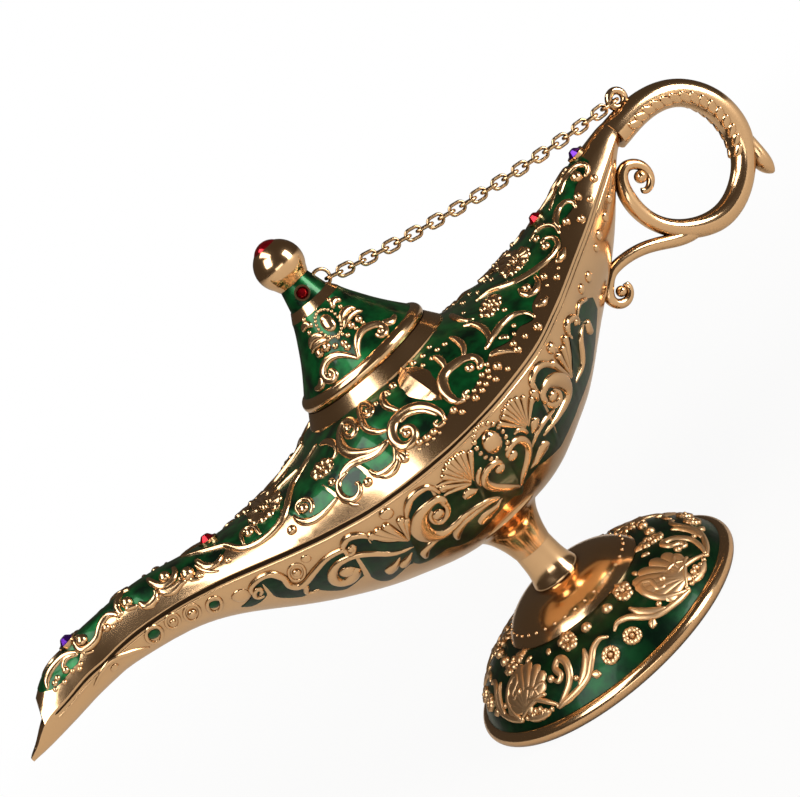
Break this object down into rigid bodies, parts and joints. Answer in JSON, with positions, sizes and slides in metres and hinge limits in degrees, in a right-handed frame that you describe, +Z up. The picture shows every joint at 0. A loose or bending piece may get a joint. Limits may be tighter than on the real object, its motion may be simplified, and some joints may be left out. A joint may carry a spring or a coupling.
{
  "type": "genie oil lamp",
  "caption": "Footed boat-shaped oil lamp with pouring spout, scroll ring handle, and a domed lid held by a fine chain.",
  "frame": {"origin": "centre of the foot's underside, on the lamp's vertical axis", "axes": "+Z up, the spout points to -X, the handle to +X, and Y runs across the beam"},
  "size_m": [0.2112, 0.0742, 0.1164],
  "materials": {
    "gold_plate": "polished rose-gold plating",
    "green_enamel": "glossy translucent enamel",
    "red_glass": "cut foil-backed glass",
    "purple_glass": "cut foil-backed glass",
    "steel": "zinc plated",
    "seal_rubber": "matt"
  },
  "bodies": {
    "root": {"upper_shell": "gold_plate", "lower_shell": "gold_plate", "mouth_collar": "gold_plate", "handle": "gold_plate", "chain_lug": "gold_plate", "stem_upper": "gold_plate", "stem_lower": "gold_plate", "foot_dome": "gold_plate", "foot_rim": "gold_plate", "spout_tip_gem_bezel": "gold_plate", "spout_gem_bezel": "gold_plate", "tail_gem_bezel": "gold_plate", "tail_tip_gem_bezel": "gold_plate", "foot_skirt": "green_enamel", "spout_gem": "red_glass", "tail_gem": "red_glass", "spout_tip_gem": "purple_glass", "tail_tip_gem": "purple_glass", "tie_bolt": "steel", "foot_washer": "steel", "foot_nut": "steel", "bolt_washer": "seal_rubber"},
    "chain": {"chain_jump_ring": "gold_plate", "chain_links": "gold_plate"},
    "lid": {"lid_brim_ring": "gold_plate", "lid_skirt": "gold_plate", "lid_cone": "green_enamel", "lid_neck_band": "gold_plate", "lid_neck": "green_enamel", "lid_knob": "gold_plate", "knob_gem": "red_glass", "neck_gem_bezels": "gold_plate", "neck_gems": "red_glass", "lid_chain_ring": "gold_plate"}
  },
  "joints": [
    {"name": "chain_swing", "type": "hinge", "parent": "root", "child": "chain", "pos_m": [0.0828, 0, 0.086], "axis": [0, 1, 0], "range_deg": [0, 30]},
    {"name": "lid_level", "type": "hinge", "parent": "chain", "child": "lid", "pos_m": [0.00568, 0, 0.10137], "axis": [0, 1, 0], "range_deg": [-30, 0]}
  ],
  "couplings": [
    {"joint": "lid_level", "follows": "chain_swing", "ratio": -1}
  ]
}
